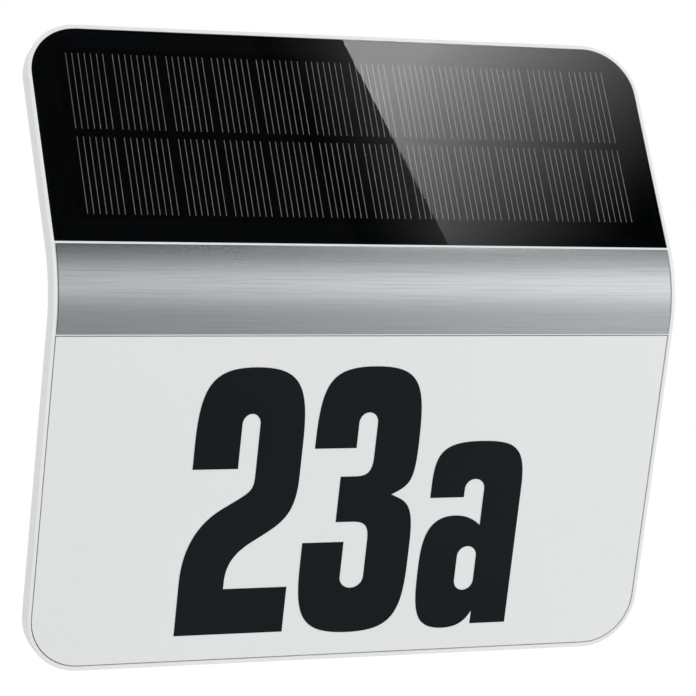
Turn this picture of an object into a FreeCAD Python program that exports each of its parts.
import FreeCAD, Part
import math
import os

# Solar house number lamp. Millimetres. X to the right, Y towards the wall, Z up.
# The wall is the plane y = 0, and the origin is the middle of the bracket's screw holes.
#
# The front is one skin: a flat upper slope, a round nose and a flat lower slope. Most pieces are
# sheets that follow it. q is the way down along the skin, counted from the nose's upper tangent
# line, and t is the depth under the skin.

V = FreeCAD.Vector

# ---- skin ----
body_width = 242.0
upper_tilt = math.radians(23.0)      # upper slope leans back, going up
lower_tilt = math.radians(15.5)      # lower slope leans back, going down
nose_radius = 45.0
nose_reach = 43.0                    # nose to wall
nose_height = -30.0                  # nose's foremost line, from the bracket's screws
corner_radius = 20.3

# ---- front frame ----
rim_width = 1.6
frame_depth = 5.6
ledge_back = 4.0                     # depth of the seat that the rear cover closes on
upper_ledge_width = 4.0
lower_ledge_width = 3.1
nose_back = 2.0                      # depth of the nose wall's inner face
rib_width = 0.8                      # between glass and band
lower_rib_width = 0.4                # between band and number panel
rib_wall = 1.5                       # wall that carries the rib, under the skin

# ---- solar module ----
glass_height = 82.3
glass_gap = 0.1
glass_recess = 0.2
glass_thickness = 1.5
cell_thickness = 0.25
cell_columns = 12
cell_pitch = 18.1
cell_width = 17.7
cell_height = 30.6
cell_row_gap = 2.2
cell_rise = 10.5                     # lower row's foot above the glass's foot
cell_side_shift = 0.7                # the cells sit this far right of the middle
backsheet_thickness = 0.5
backsheet_margin = 1.5
bond_tape_thickness = 0.25
bond_tape_width = 3.0

# ---- trim band ----
band_gap = 0.1
band_recess = 0.1
band_thickness = 0.5
band_film_thickness = 0.15
band_film_margin = 3.0
band_side_gap = 0.5
band_corner = 0.6

# ---- number panel and its light ----
panel_height = 120.5
panel_gap = 0.4
panel_recess = 0.2
nose_straight = 3.4                  # flat stretch between nose and number panel
guide_thickness = 2.0
guide_gap = 0.3
guide_rise = 2.8                     # light guide reaches this far up under the band
reflector_thickness = 0.2
led_count = 12
led_pitch = 17.0
led_length = 3.5
led_width = 1.8
led_height = 0.7
led_gap = 0.1
led_board_thickness = 1.0
led_board_width = 4.0
led_board_length = 206.0
led_board_setback = 0.1
led_rib_width = 1.4
led_rib_depth = 3.0

# ---- rear cover ----
cover_wall = 2.0
cover_gap = 0.15
seal_thickness = 0.4
seal_width = 1.4
seal_inset = 0.3
box_half_width = 80.0
box_top = 32.0
box_bottom = -110.0
box_corner = 9.0
box_edge = 1.2
wall_gap = 1.0

# ---- wall bracket and the recess it sits in ----
bracket_width = 80.0
bracket_height = 36.0
bracket_sheet = 1.5
bracket_corner = 4.0
bracket_hole_spacing = 56.0
bracket_hole_radius = 2.3
lip_height = 6.0
lip_offset = 3.4                     # lip's back stands this far off the wall
lip_slope = 4.0
lip_half_width = 31.0
recess_side = 4.0
recess_above = 6.0
recess_below = 13.0
recess_depth = 6.0
recess_corner = 3.0
hook_width = 14.0
hook_spacing = 44.0
hook_web = 2.4
hook_tail = 1.8
hook_drop = 5.5

# ---- edge clips between frame and rear cover ----
clip_length = 10.0
clip_height = 0.6                    # how far a nub stands in from the frame's wall
clip_shelf = 0.5                     # cover left under a nub
clip_slack = 0.1
clip_spacing = 70.0

# ---- light channel: a bulge of the rear cover behind the LED board ----
channel_gap = 0.5
channel_wall = 1.6

# ---- battery ----
battery_height = -50.0
cell_radius = 9.2
cell_length = 65.2
pocket_gap = 0.5
contact_space = 5.0
pocket_wall = 1.6
lid_thickness = 2.0
lid_half_length = 46.0
lid_half_height = 15.0
lid_corner = 4.0
lid_gap = 0.2
lid_edge = 0.4
lid_seal_thickness = 0.5
lid_seal_width = 1.6
lid_seal_inset = 1.0
lid_screw_place = 42.2
cell_cap_radius = 3.2
cell_cap_height = 1.2
contact_sheet = 0.4
contact_size = 14.0
contact_width = 9.0
contact_crown = 1.5                  # half of the leaf's flat crown
contact_set = 1.0                    # how far the leaf's free end stands off its plate

# ---- screws ----
screw_radius = 1.1
screw_slack = 0.1
screw_head_radius = 2.1
screw_head_height = 1.3
lid_screw_length = 7.0
boss_radius = 3.0
boss_floor = 1.3                     # depth at which the housing screws end
seat_depth = 0.25                    # flat seats sunk in the cover for the housing screws
housing_screw_x = 110.0
housing_screw_q = 17.0

# ---- electronics ----
board_thickness = 1.6
board_standoff = 4.0
board_side_gap = 1.0                 # from the box's wall
board_boss_gap = 4.8                 # from the battery cover's screw boss
board_height = 56.0
board_post_width = 5.0
board_hole_margin = 4.0
switch_length = 10.0
switch_height = 4.5
switch_knob_gap = 0.5
knob_length = 2.6
knob_height = 2.2
knob_travel = 2.0
knob_clearance = 0.2
knob_recess = 1.2
knob_sunk = 0.2
lead_radius = 0.6
lead_pitch = 2.0
socket_size = (6.0, 5.0, 4.0)        # along x, y, z
plug_size = (5.0, 3.0, 3.0)
chip_size = (7.0, 1.2, 7.0)
choke_radius = 3.5
choke_height = 4.5
capacitor_radius = 3.0
capacitor_length = 10.0
socket_rise = 18.0                   # sockets above and below the board's middle
battery_socket_drop = 16.0
chip_rise = 4.0
capacitor_drop = 14.0
lead_sides = 6
plug_tail = 1.5                      # how far a plug stands out of its socket
lead_end_run = 9.0                   # straight run into a plug
lead_start_run = 5.0                 # straight run out of the battery's pocket
solar_pad_rise = 10.0                # solar pads above the glass's foot

# ---- worked out from the above ----
half_width = body_width / 2
nose_length = nose_radius * (upper_tilt + lower_tilt)
arc_centre = V(0, nose_radius - nose_reach, nose_height)
rib_start = glass_gap
band_start = rib_start + rib_width + band_gap
panel_start = nose_length + nose_straight
pocket_start = panel_start - panel_gap
band_end = pocket_start - lower_rib_width - band_gap
skin_top = -(glass_height + glass_gap + rim_width)
skin_bottom = panel_start + panel_height + panel_gap + rim_width
cells_depth = glass_recess + glass_thickness
backsheet_depth = cells_depth + cell_thickness
tape_depth = backsheet_depth + backsheet_thickness
upper_ledge_front = tape_depth + bond_tape_thickness
band_film_depth = band_recess + band_thickness
nose_front = band_film_depth + band_film_thickness
cover_front = ledge_back + seal_thickness
cover_back = cover_front + cover_wall
guide_start = panel_start - guide_rise
guide_end = skin_bottom - rim_width - lower_ledge_width - guide_gap
guide_inset = rim_width + lower_ledge_width + guide_gap
led_start = guide_start - led_gap - led_height
board_start = led_start - led_board_thickness
back_plane = -wall_gap
back_inside = back_plane - cover_wall
recess_floor = back_plane - recess_depth
cell_axis_y = back_plane - lid_thickness - pocket_gap - cell_radius
pocket_floor = cell_axis_y - cell_radius - pocket_gap
pocket_half_length = cell_length / 2 + contact_space
pocket_half_height = cell_radius + pocket_gap
lid_seat = back_plane - lid_thickness - lid_seal_thickness
board_back = back_inside - board_standoff
board_front = board_back - board_thickness
board_left = lid_screw_place + boss_radius + board_boss_gap
board_right = box_half_width - cover_wall - board_side_gap
board_low = battery_height - board_height / 2
board_high = battery_height + board_height / 2
left_column = board_left + (board_right - board_left) / 4
right_column = board_right - (board_right - board_left) / 4
switch_x = (board_left + board_right) / 2
switch_z = battery_height


# ---- the skin ----
def slope_point(q, t, angle, q_start):
    """A point of the straight slope whose normal stands at this angle."""
    along = q - q_start
    radius = nose_radius - t
    y = arc_centre.y - radius * math.cos(angle) - along * math.sin(angle)
    z = arc_centre.z + radius * math.sin(angle) - along * math.cos(angle)
    return V(0, y, z)


def upper_point(q, t):
    return slope_point(q, t, upper_tilt, 0.0)


def lower_point(q, t):
    return slope_point(q, t, -lower_tilt, nose_length)


def skin_point(q, t):
    """The point q down the skin and t under it, in the plane x = 0."""
    if q <= 0:
        return upper_point(q, t)
    if q >= nose_length:
        return lower_point(q, t)
    angle = upper_tilt - q / nose_radius
    return slope_point(q, t, angle, q)


def tangent_point(touch):
    """A function like upper_point, for the plane that touches the nose at this q."""
    return lambda q, t: slope_point(q, t, upper_tilt - touch / nose_radius, touch)


def skin_normal(q):
    """Unit vector from the skin into the lamp."""
    return (skin_point(q, 1.0) - skin_point(q, 0.0)).normalize()


def skin_edges(q0, q1, t):
    """The line from q0 to q1 at depth t: straight, round, straight."""
    stops = [q0] + [q for q in (0.0, nose_length) if q0 < q < q1] + [q1]
    edges = []
    for a, b in zip(stops, stops[1:]):
        middle = (a + b) / 2
        ends = skin_point(a, t), skin_point(b, t)
        if 0 < middle < nose_length:
            edges.append(Part.Arc(ends[0], skin_point(middle, t), ends[1]).toShape())
        else:
            edges.append(Part.LineSegment(*ends).toShape())
    return edges


def sheet(q0, q1, t0, t1, half, top_radius=0.0, bottom_radius=0.0):
    """A sheet that follows the skin, with its corners rounded."""
    ends = [Part.LineSegment(skin_point(q, t0), skin_point(q, t1)).toShape() for q in (q0, q1)]
    wire = Part.Wire(Part.__sortEdges__(skin_edges(q0, q1, t0) + skin_edges(q0, q1, t1) + ends))
    face = Part.Face(wire)
    face.translate(V(-half, 0, 0))
    solid = face.extrude(V(2 * half, 0, 0))
    for q, radius in ((q0, top_radius), (q1, bottom_radius)):
        if radius > 0:
            middle = (skin_point(q, t0) + skin_point(q, t1)) * 0.5
            corners = [e for e in solid.Edges if corner_at(e, middle, half)]
            solid = solid.makeFillet(radius, corners)
    return solid


def corner_at(edge, middle, half):
    """True for the short edge of a sheet's corner, at either side."""
    centre = edge.BoundBox.Center
    return abs(abs(centre.x) - half) < 1e-4 and V(0, centre.y, centre.z).distanceToPoint(middle) < 1e-4


def outline(inset, t0, t1):
    """A sheet of the whole lamp's outline, drawn in by inset."""
    radius = max(corner_radius - inset, 0.5)
    return sheet(skin_top + inset, skin_bottom - inset, t0, t1, half_width - inset, radius, radius)


def slope_block(x0, x1, q0, q1, t0, t1, point):
    """A flat block square to one slope."""
    corners = [point(q0, t0), point(q1, t0), point(q1, t1), point(q0, t1)]
    face = Part.Face(Part.makePolygon(corners + corners[:1]))
    face.translate(V(x0, 0, 0))
    return face.extrude(V(x1 - x0, 0, 0))


def behind_skin(t, half):
    """Everything between depth t under the skin and the plane of the lamp's back."""
    top = skin_point(skin_top, t)
    bottom = skin_point(skin_bottom, t)
    edges = skin_edges(skin_top, skin_bottom, t)
    back = [V(0, back_plane, bottom.z), V(0, back_plane, top.z)]
    for a, b in ((bottom, back[0]), (back[0], back[1]), (back[1], top)):
        edges.append(Part.LineSegment(a, b).toShape())
    face = Part.Face(Part.Wire(Part.__sortEdges__(edges)))
    face.translate(V(-half, 0, 0))
    return face.extrude(V(2 * half, 0, 0))


# ---- common shapes ----
def block(x0, x1, y0, y1, z0, z1):
    return Part.makeBox(x1 - x0, y1 - y0, z1 - z0, V(x0, y0, z0))


def rounded_block(x0, x1, y0, y1, z0, z1, radius):
    """A block whose four edges along Y are round."""
    solid = block(x0, x1, y0, y1, z0, z1)
    edges = [e for e in solid.Edges if abs(e.tangentAt(e.FirstParameter).y) > 0.99]
    return solid.makeFillet(radius, edges)


def rod(radius, start, direction, length):
    return Part.makeCylinder(radius, length, start, direction)


def at(x, point):
    return V(x, point.y, point.z)


def tube(points, radius, name):
    """A lead along straight runs joined by tangent arcs."""
    edges = []
    start = points[0]
    radii = []
    for before, corner, after in zip(points, points[1:], points[2:]):
        run_in = corner - before
        run_out = after - corner
        turn = run_in.getAngle(run_out)
        reach = 0.45 * min(run_in.Length, run_out.Length)
        bend = reach / math.tan(turn / 2)
        radii.append(bend)
        u = V(run_in).normalize()
        w = V(run_out).normalize()
        a = corner - u * reach
        b = corner + w * reach
        inwards = (w - u).normalize()
        centre = corner + inwards * (bend / math.cos(turn / 2))
        middle = centre - inwards * bend
        edges.append(Part.LineSegment(start, a).toShape())
        edges.append(Part.Arc(a, middle, b).toShape())
        start = b
    edges.append(Part.LineSegment(start, points[-1]).toShape())
    path = Part.Wire(edges)
    section = Part.Circle(points[0], points[1] - points[0], radius).toShape()
    ring = section.discretize(lead_sides + 1)
    solid = path.makePipeShell([Part.makePolygon(ring)], True, False)
    expected = Part.Face(Part.makePolygon(ring)).Area * path.Length
    print(name, "least bend radius", round(min(radii), 1), "length", round(path.Length, 1),
          "volume share", round(solid.Volume / expected, 3))
    return solid


# ---- front frame ----
def front_frame():
    wall = outline(0, 0, frame_depth).cut(outline(rim_width, -1, frame_depth + 1))
    inside = half_width - rim_width
    radius = corner_radius - rim_width
    upper = sheet(skin_top + rim_width, rib_start + rib_wall, upper_ledge_front, ledge_back, inside,
                  radius)
    window = half_width - rim_width - upper_ledge_width
    upper = upper.cut(sheet(skin_top + rim_width + upper_ledge_width, -upper_ledge_width,
                            upper_ledge_front - 1, ledge_back + 1, window,
                            radius - upper_ledge_width))
    lower = sheet(pocket_start, skin_bottom - rim_width, nose_back, ledge_back, inside, 0, radius)
    window = half_width - rim_width - lower_ledge_width
    lower = lower.cut(sheet(pocket_start - 1, skin_bottom - rim_width - lower_ledge_width,
                            nose_back - 1, ledge_back + 1, window, 0, radius - lower_ledge_width))
    nose = sheet(rib_start, pocket_start, nose_front, nose_back, inside)
    ribs = [sheet(rib_start, rib_start + rib_width, 0, nose_back, inside),
            sheet(rib_start, rib_start + rib_wall, nose_front, ledge_back, inside),
            sheet(pocket_start - lower_rib_width, pocket_start, 0, nose_back, inside)]
    side = [slope_block(sign * window, sign * inside, nose_length, pocket_start + 1,
                        nose_back, ledge_back, lower_point) for sign in (-1, 1)]
    led_rib = slope_block(-led_board_length / 2, led_board_length / 2, board_start - led_rib_width,
                          board_start, nose_back - 0.3, nose_back + led_rib_depth, lower_point)
    seat = [sheet(rib_start, nose_length, nose_back, ledge_back, inside).cut(
        sheet(rib_start - 1, nose_length + 1, nose_back - 1, ledge_back + 1, window))]
    frame = wall.fuse([upper, lower, nose, led_rib] + ribs + side + seat)
    frame = frame.fuse([screw_pad(x, q, nose_front + 0.2, ledge_back) for x, q in screw_points()])
    nub_front = cover_front + clip_shelf + clip_slack
    frame = frame.fuse(clips(clip_height, 0.2, nub_front, frame_depth - 0.1, 0))
    for x, q in screw_points():
        start = at(x, skin_point(q, boss_floor))
        frame = frame.cut(rod(screw_radius, start, skin_normal(q), ledge_back))
    return frame.removeSplitter()


def screw_points():
    return [(sign * housing_screw_x, housing_screw_q) for sign in (-1, 1)]


def screw_pad(x, q, t0, t1):
    """A square block round a housing screw, from depth t0 to t1."""
    return slope_block(x - boss_radius, x + boss_radius, q - boss_radius, q + boss_radius, t0, t1,
                       tangent_point(q))


# ---- solar module ----
def solar_glass():
    inset = rim_width + glass_gap
    return sheet(skin_top + inset, 0, glass_recess, cells_depth, half_width - inset,
                 corner_radius - inset)


def solar_cells():
    cells = []
    first = cell_side_shift - (cell_columns - 1) / 2 * cell_pitch
    for row in range(2):
        foot = cell_rise + row * (cell_height + cell_row_gap)
        for column in range(cell_columns):
            x = first + column * cell_pitch
            cells.append(slope_block(x - cell_width / 2, x + cell_width / 2, -foot - cell_height, -foot,
                                     cells_depth, backsheet_depth, upper_point))
    return Part.makeCompound(cells)


def solar_backsheet():
    """The black laminate behind the glass, with a pocket for each cell."""
    inset = rim_width + glass_gap + backsheet_margin
    back = sheet(skin_top + inset, -backsheet_margin, cells_depth, tape_depth,
                 half_width - inset, corner_radius - inset)
    return back.cut(solar_cells())


def solar_bond_tape():
    inset = rim_width + glass_gap + backsheet_margin
    outer = sheet(skin_top + inset, -backsheet_margin, tape_depth, upper_ledge_front,
                  half_width - inset, corner_radius - inset)
    inner = inset + bond_tape_width - backsheet_margin
    hole = sheet(skin_top + inner, -bond_tape_width, tape_depth - 1, upper_ledge_front + 1,
                 half_width - inner, corner_radius - inner)
    return outer.cut(hole)


# ---- trim band ----
def trim_band():
    half = half_width - rim_width - band_side_gap
    return sheet(band_start, band_end, band_recess, band_film_depth, half, band_corner, band_corner)


def band_film():
    half = half_width - rim_width - band_side_gap - band_film_margin
    return sheet(band_start + band_film_margin, band_end - band_film_margin, band_film_depth,
                 nose_front, half)


# ---- number panel and its light ----
def number_panel():
    inset = rim_width + panel_gap
    return sheet(panel_start, skin_bottom - inset, panel_recess, nose_back, half_width - inset, 0,
                 corner_radius - inset)


def light_guide():
    return sheet(guide_start, guide_end, nose_back, nose_back + guide_thickness,
                 half_width - guide_inset, 0, corner_radius - guide_inset)


def reflector_sheet():
    front = nose_back + guide_thickness
    return sheet(guide_start, guide_end, front, front + reflector_thickness,
                 half_width - guide_inset, 0, corner_radius - guide_inset)


def led_board():
    return slope_block(-led_board_length / 2, led_board_length / 2, board_start, led_start,
                       nose_back + led_board_setback, nose_back + led_board_setback + led_board_width,
                       lower_point)


def leds():
    middle = nose_back + guide_thickness / 2
    first = -(led_count - 1) / 2 * led_pitch
    chips = []
    for i in range(led_count):
        x = first + i * led_pitch
        chips.append(slope_block(x - led_length / 2, x + led_length / 2, led_start,
                                 led_start + led_height, middle - led_width / 2,
                                 middle + led_width / 2, lower_point))
    return Part.makeCompound(chips)


# ---- rear cover ----
def rear_cover():
    plate = outline(rim_width + cover_gap, cover_front, cover_back)
    box = rounded_block(-box_half_width, box_half_width, -nose_reach, back_plane, box_bottom, box_top,
                        box_corner)
    back_rim = [e for e in box.Edges if abs(e.BoundBox.YMin - back_plane) < 1e-6]
    box = box.makeChamfer(box_edge, back_rim).common(behind_skin(cover_front, half_width))
    cavity = rounded_block(-box_half_width + cover_wall, box_half_width - cover_wall,
                           -nose_reach - 1, back_inside, box_bottom + cover_wall,
                           box_top - cover_wall, box_corner - cover_wall)
    shell = plate.fuse([box, light_channel(channel_wall)]).cut(cavity).cut(light_channel(0))
    shell = shell.fuse([bracket_tray(0), battery_tub(0), lid_flange()] + board_posts()
                       + lid_bosses())
    shell = shell.cut(clips(clip_height + clip_slack, 0, cover_front + clip_shelf, cover_back + 1,
                            clip_slack))
    shell = shell.cut(bracket_tray(cover_wall)).cut(lid_recess())
    shell = shell.cut(battery_tub(pocket_wall))
    shell = shell.fuse(hooks())
    for x, z in lid_screw_points():
        shell = shell.cut(rod(screw_radius + screw_slack, V(x, lid_seat, z), V(0, -1, 0),
                              lid_screw_length))
    for x, z in board_screw_points():
        shell = shell.cut(rod(screw_radius, V(x, board_back, z), V(0, 1, 0), board_standoff))
    for x, q in screw_points():
        start = at(x, skin_point(q, ledge_back - 1))
        shell = shell.cut(rod(screw_radius + screw_slack, start, skin_normal(q), 2 * cover_wall))
        shell = shell.cut(screw_pad(x, q, cover_back - seat_depth, cover_back + 1))
    shell = shell.cut(switch_opening())
    return shell.removeSplitter()


def bracket_tray(inset):
    """The sunk tray for the wall bracket: its outside, or its inside when inset by the wall."""
    side = bracket_width / 2 + recess_side + cover_wall - inset
    low = -bracket_height / 2 - recess_below - cover_wall + inset
    high = bracket_height / 2 + recess_above + cover_wall - inset
    floor = recess_floor - cover_wall + inset
    if inset:
        return rounded_block(-side, side, floor, back_plane + 1, low, high, recess_corner)
    return block(-side, side, floor, back_plane, low, high)


def hooks():
    """Two hooks in the tray that hang behind the bracket's lip."""
    seat = bracket_height / 2
    solids = []
    for sign in (-1, 1):
        x0 = sign * hook_spacing / 2 - hook_width / 2
        x1 = x0 + hook_width
        web = block(x0, x1, recess_floor, back_plane, seat, seat + hook_web)
        tail = block(x0, x1, back_plane - hook_tail, back_plane, seat - hook_drop, seat + hook_web)
        solids.append(web.fuse(tail))
    return solids


def light_channel(wall):
    """The bulge behind the LED board: its inside, or its outside when given its wall."""
    half = led_board_length / 2 + channel_gap + wall
    front = ledge_back - 1 if wall == 0 else cover_front
    depth = nose_back + led_board_setback + led_board_width + channel_gap + wall
    return slope_block(-half, half, board_start - led_rib_width - channel_gap - wall,
                       led_start + channel_gap + wall, front, depth, lower_point)


def clip_places():
    """Each edge clip as the slope it is on, its q, and the way from the wall into the frame."""
    places = []
    for x in (-clip_spacing, 0.0, clip_spacing):
        places.append((x, skin_top + rim_width, 1, upper_point))
        places.append((x, skin_bottom - rim_width, -1, lower_point))
    return places


def clips(inwards, outwards, front, back, longer):
    """Blocks along the frame's top and bottom walls."""
    blocks = []
    for x, wall_q, way, point in clip_places():
        q0, q1 = sorted((wall_q - way * outwards, wall_q + way * inwards))
        half = clip_length / 2 + longer
        blocks.append(slope_block(x - half, x + half, q0, q1, front, back, point))
    return blocks


def battery_tub(inset):
    """The battery pocket: its outside, or its inside when inset by its wall."""
    length = pocket_half_length + pocket_wall - inset
    height = pocket_half_height + pocket_wall - inset
    floor = pocket_floor - pocket_wall + inset
    back = back_plane + (1 if inset else 0)
    return block(-length, length, floor, back, battery_height - height, battery_height + height)


def lid_flange():
    length = lid_half_length + lid_gap + pocket_wall
    height = lid_half_height + lid_gap + pocket_wall
    return block(-length, length, lid_seat - pocket_wall, back_plane, battery_height - height,
                 battery_height + height)


def lid_recess():
    length = lid_half_length + lid_gap
    height = lid_half_height + lid_gap
    return rounded_block(-length, length, lid_seat, back_plane + 1, battery_height - height,
                         battery_height + height, lid_corner)


def lid_bosses():
    return [block(x - boss_radius, x + boss_radius, lid_seat - lid_screw_length, lid_seat,
                  z - boss_radius, z + boss_radius) for x, z in lid_screw_points()]


def lid_screw_points():
    return [(sign * lid_screw_place, battery_height) for sign in (-1, 1)]


def board_screw_points():
    return [(board_left + board_hole_margin, board_low + board_hole_margin),
            (board_right - board_hole_margin, board_high - board_hole_margin)]


def board_posts():
    half = board_post_width / 2
    return [block(x - half, x + half, board_back, back_inside + 1, z - half, z + half)
            for x, z in board_screw_points()]


def switch_opening():
    """A slot for the knob's travel in the floor of a finger recess."""
    half = knob_length / 2 + knob_travel + knob_clearance
    high = knob_height / 2 + knob_clearance
    slot = block(switch_x - half, switch_x + half, back_inside - 1, back_plane + 1,
                 switch_z - high, switch_z + high)
    recess = rounded_block(switch_x - half - 3, switch_x + half + 3, back_plane - knob_recess,
                           back_plane + 1, switch_z - high - 2.5, switch_z + high + 2.5, 2.0)
    return slot.fuse(recess)


def housing_seal():
    inner = seal_inset + seal_width
    ring = outline(rim_width + seal_inset, ledge_back, cover_front)
    return ring.cut(outline(rim_width + inner, ledge_back - 1, cover_front + 1))


def housing_screws():
    screws = []
    for x, q in screw_points():
        normal = skin_normal(q)
        seat = cover_back - seat_depth
        shank = rod(screw_radius, at(x, skin_point(q, boss_floor)), normal, seat - boss_floor)
        screws.append(shank.fuse(screw_head(at(x, skin_point(q, seat)), normal)).removeSplitter())
    return Part.makeCompound(screws)


def screw_head(seat, direction):
    return rod(screw_head_radius, seat, direction, screw_head_height)


# ---- wall bracket ----
def wall_bracket():
    half = bracket_width / 2
    top = bracket_height / 2
    plate = rounded_block(-half, half, -bracket_sheet, 0, -top, top - lip_height - lip_slope,
                          bracket_corner)
    lip_back = top - lip_height
    profile = [V(0, 0, lip_back - 3 * lip_slope), V(0, 0, lip_back - lip_slope),
               V(0, -lip_offset, lip_back), V(0, -lip_offset, top),
               V(0, -lip_offset - bracket_sheet, top),
               V(0, -lip_offset - bracket_sheet, lip_back),
               V(0, -bracket_sheet, lip_back - lip_slope),
               V(0, -bracket_sheet, lip_back - 3 * lip_slope)]
    lip = Part.Face(Part.makePolygon(profile + profile[:1]))
    lip.translate(V(-lip_half_width, 0, 0))
    bracket = plate.fuse(lip.extrude(V(2 * lip_half_width, 0, 0)))
    for sign in (-1, 1):
        hole = rod(bracket_hole_radius, V(sign * bracket_hole_spacing / 2, 1, 0), V(0, -1, 0),
                   bracket_sheet + 2)
        bracket = bracket.cut(hole)
    return bracket.removeSplitter()


# ---- battery ----
def battery_cell():
    """The cell, its raised cap to the right."""
    body = rod(cell_radius, V(-cell_length / 2, cell_axis_y, battery_height), V(1, 0, 0),
               cell_length - cell_cap_height)
    cap = rod(cell_cap_radius, V(cell_length / 2 - 2 * cell_cap_height, cell_axis_y, battery_height),
              V(1, 0, 0), 2 * cell_cap_height)
    return body.fuse(cap).removeSplitter()


def leaf_contact(side):
    """A folded strip between an end of the pocket and the cell. side is -1 or 1 along X."""
    wall = side * pocket_half_length
    plate = wall - side * contact_sheet
    tip = side * cell_length / 2
    half = contact_size / 2
    leaf = [(plate, -half), (tip, -contact_crown), (tip, contact_crown),
            (plate - side * contact_set, half - contact_crown)]
    back = [(x + side * contact_sheet, up) for x, up in reversed(leaf)]
    strips = [leaf + back, [(plate, -half), (wall, -half), (wall, half), (plate, half)]]
    solids = []
    for strip in strips:
        points = [V(x, cell_axis_y + up, battery_height - contact_width / 2) for x, up in strip]
        face = Part.Face(Part.makePolygon(points + points[:1]))
        solids.append(face.extrude(V(0, 0, contact_width)))
    return solids[0].fuse(solids[1]).removeSplitter()


def battery_contact_plus():
    return leaf_contact(1)


def battery_contact_minus():
    return leaf_contact(-1)


def battery_cover():
    lid = rounded_block(-lid_half_length, lid_half_length, back_plane - lid_thickness, back_plane,
                        battery_height - lid_half_height, battery_height + lid_half_height,
                        lid_corner - lid_gap)
    back_rim = [e for e in lid.Edges if abs(e.BoundBox.YMin - back_plane) < 1e-6]
    lid = lid.makeChamfer(lid_edge, back_rim)
    for x, z in lid_screw_points():
        lid = lid.cut(sunk_screw(x, z, screw_slack))
    return lid.removeSplitter()


def battery_cover_seal():
    y0 = lid_seat
    y1 = back_plane - lid_thickness
    outer = pocket_half_length + lid_seal_inset + lid_seal_width
    high = pocket_half_height + lid_seal_inset + lid_seal_width
    ring = rounded_block(-outer, outer, y0, y1, battery_height - high, battery_height + high, 3.5)
    return ring.cut(rounded_block(-outer + lid_seal_width, outer - lid_seal_width, y0 - 1, y1 + 1,
                                  battery_height - high + lid_seal_width,
                                  battery_height + high - lid_seal_width, 2.0))


def sunk_screw(x, z, slack):
    """A countersunk screw from the lid's face, or the hole for it when given slack."""
    face = V(x, back_plane, z)
    head = Part.makeCone(screw_head_radius + slack, screw_radius + slack, screw_head_height, face,
                         V(0, -1, 0))
    return head.fuse(rod(screw_radius + slack, face, V(0, -1, 0), lid_screw_length)).removeSplitter()


def battery_cover_screws():
    return Part.makeCompound([sunk_screw(x, z, 0) for x, z in lid_screw_points()])


# ---- electronics ----
def control_board():
    board = block(board_left, board_right, board_front, board_back, board_low, board_high)
    for x, z in board_screw_points():
        board = board.cut(rod(screw_radius + screw_slack, V(x, board_back + 1, z), V(0, -1, 0), 4))
    return board


def board_screws():
    screws = []
    for x, z in board_screw_points():
        shank = rod(screw_radius, V(x, board_front, z), V(0, 1, 0), board_thickness + board_standoff)
        screws.append(shank.fuse(screw_head(V(x, board_front, z), V(0, -1, 0))).removeSplitter())
    return Part.makeCompound(screws)


def on_board(x, z, size):
    """A block that stands on the board's front, centred on x and z."""
    return block(x - size[0] / 2, x + size[0] / 2, board_front - size[1], board_front,
                 z - size[2] / 2, z + size[2] / 2)


def socket_points():
    """Where the solar, light and battery sockets stand, as x and z."""
    return {"solar": (right_column, switch_z + socket_rise),
            "light": (left_column, switch_z + socket_rise),
            "battery": (left_column, switch_z - battery_socket_drop)}


def board_sockets():
    return Part.makeCompound([on_board(x, z, socket_size).cut(plug_space(x, z, 0))
                              for x, z in socket_points().values()])


def plug_space(x, z, tail):
    """The part of a plug that sits in its socket, and with a tail what stands out of it."""
    front = board_front - socket_size[1]
    return block(x - plug_size[0] / 2, x + plug_size[0] / 2, front - tail, front + plug_size[1],
                 z - plug_size[2] / 2, z + plug_size[2] / 2)


def lead_plugs():
    return Part.makeCompound([plug_space(x, z, plug_tail) for x, z in socket_points().values()])


def controller_chip():
    return on_board(right_column, switch_z + chip_rise, chip_size)


def storage_choke():
    foot = V(left_column, board_front, switch_z + chip_rise)
    return rod(choke_radius, foot, V(0, -1, 0), choke_height)


def smoothing_capacitor():
    foot = V(right_column, board_front, switch_z - capacitor_drop)
    return rod(capacitor_radius, foot, V(0, -1, 0), capacitor_length)


def mode_switch_body():
    return block(switch_x - switch_length / 2, switch_x + switch_length / 2, board_back,
                 back_inside - switch_knob_gap, switch_z - switch_height / 2,
                 switch_z + switch_height / 2)


def mode_switch_knob():
    knob = block(switch_x - knob_length / 2, switch_x + knob_length / 2,
                 back_inside - switch_knob_gap, back_plane - knob_sunk,
                 switch_z - knob_height / 2, switch_z + knob_height / 2)
    top = [e for e in knob.Edges if e.BoundBox.YMin > back_plane - knob_sunk - 1e-6]
    return knob.makeFillet(0.3, top)


# ---- leads ----
def lead(name, points, side):
    """One lead of a pair, from its pad to its plug. side is -1 or 1 along X."""
    shift = V(side * lead_pitch / 2, 0, 0)
    return tube([p + shift for p in points], lead_radius, name)


def plug_mouth(name):
    x, z = socket_points()[name]
    return V(x, board_front - socket_size[1] - plug_tail, z)


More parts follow.
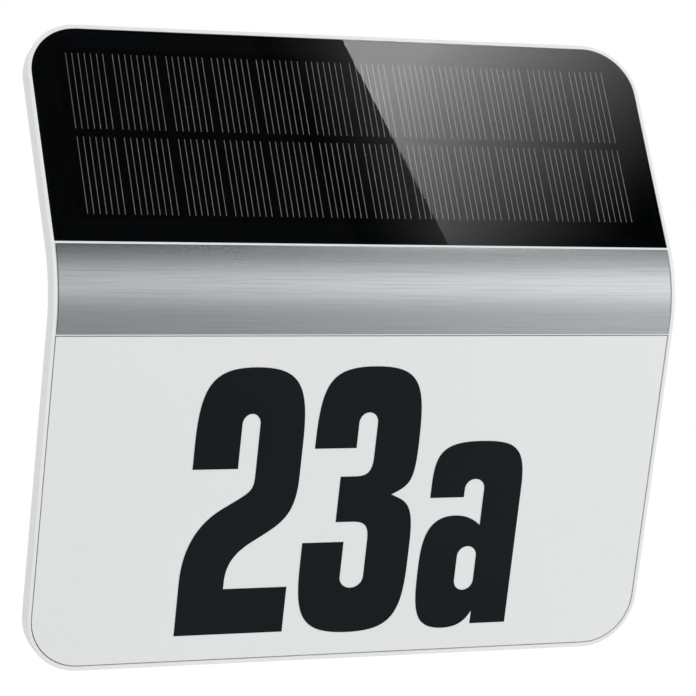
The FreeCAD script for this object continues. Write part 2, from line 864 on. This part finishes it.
def solar_lead(side):
    end = plug_mouth("solar")
    start = at(end.x, upper_point(-solar_pad_rise, tape_depth))
    out = start + skin_normal(-solar_pad_rise) * lead_end_run
    points = [start, out, V(end.x, end.y - lead_end_run, end.z), end]
    return lead("solar lead", points, side)


def light_lead(side):
    end = plug_mouth("light")
    start = at(end.x, lower_point(board_start + led_board_thickness / 2,
                                  nose_back + led_board_setback + led_board_width))
    normal = skin_normal(nose_length)
    points = [start, start + normal * lead_end_run, V(end.x, end.y - lead_end_run, end.z), end]
    return lead("light lead", points, side)


def battery_lead(side):
    end = plug_mouth("battery")
    start = V(pocket_half_length + pocket_wall, cell_axis_y - 3.0, battery_height - 4.0)
    points = [start + V(lead_start_run, 0, 0), V(end.x, end.y - lead_end_run, end.z), end]
    across = V(1, 0, 1).normalize() * (side * lead_pitch / 2)
    return tube([start + V(0, 0, across.z)] + [p + across for p in points], lead_radius,
                "battery lead")


def solar_lead_plus():
    return solar_lead(-1)


def solar_lead_minus():
    return solar_lead(1)


def light_lead_plus():
    return light_lead(-1)


def light_lead_minus():
    return light_lead(1)


def battery_lead_plus():
    return battery_lead(-1)


def battery_lead_minus():
    return battery_lead(1)


MAKERS = [front_frame, solar_glass, solar_cells, solar_backsheet, solar_bond_tape, trim_band,
          band_film, number_panel, light_guide, reflector_sheet, led_board, leds, rear_cover,
          housing_seal, housing_screws, wall_bracket, battery_cell, battery_contact_plus,
          battery_contact_minus,
          battery_cover, battery_cover_seal, battery_cover_screws, control_board,
          board_screws, board_sockets, lead_plugs, controller_chip, storage_choke,
          smoothing_capacitor, mode_switch_body, mode_switch_knob, solar_lead_plus,
          solar_lead_minus, light_lead_plus, light_lead_minus, battery_lead_plus,
          battery_lead_minus]

os.makedirs("parts", exist_ok=True)
for make in MAKERS:
    shape = make()
    solids = shape.Solids
    print(make.__name__, "solids", len(solids), "volume", round(sum(s.Volume for s in solids), 1),
          "valid", shape.isValid())
    shape.exportStep(os.path.join("parts", make.__name__ + ".step"))
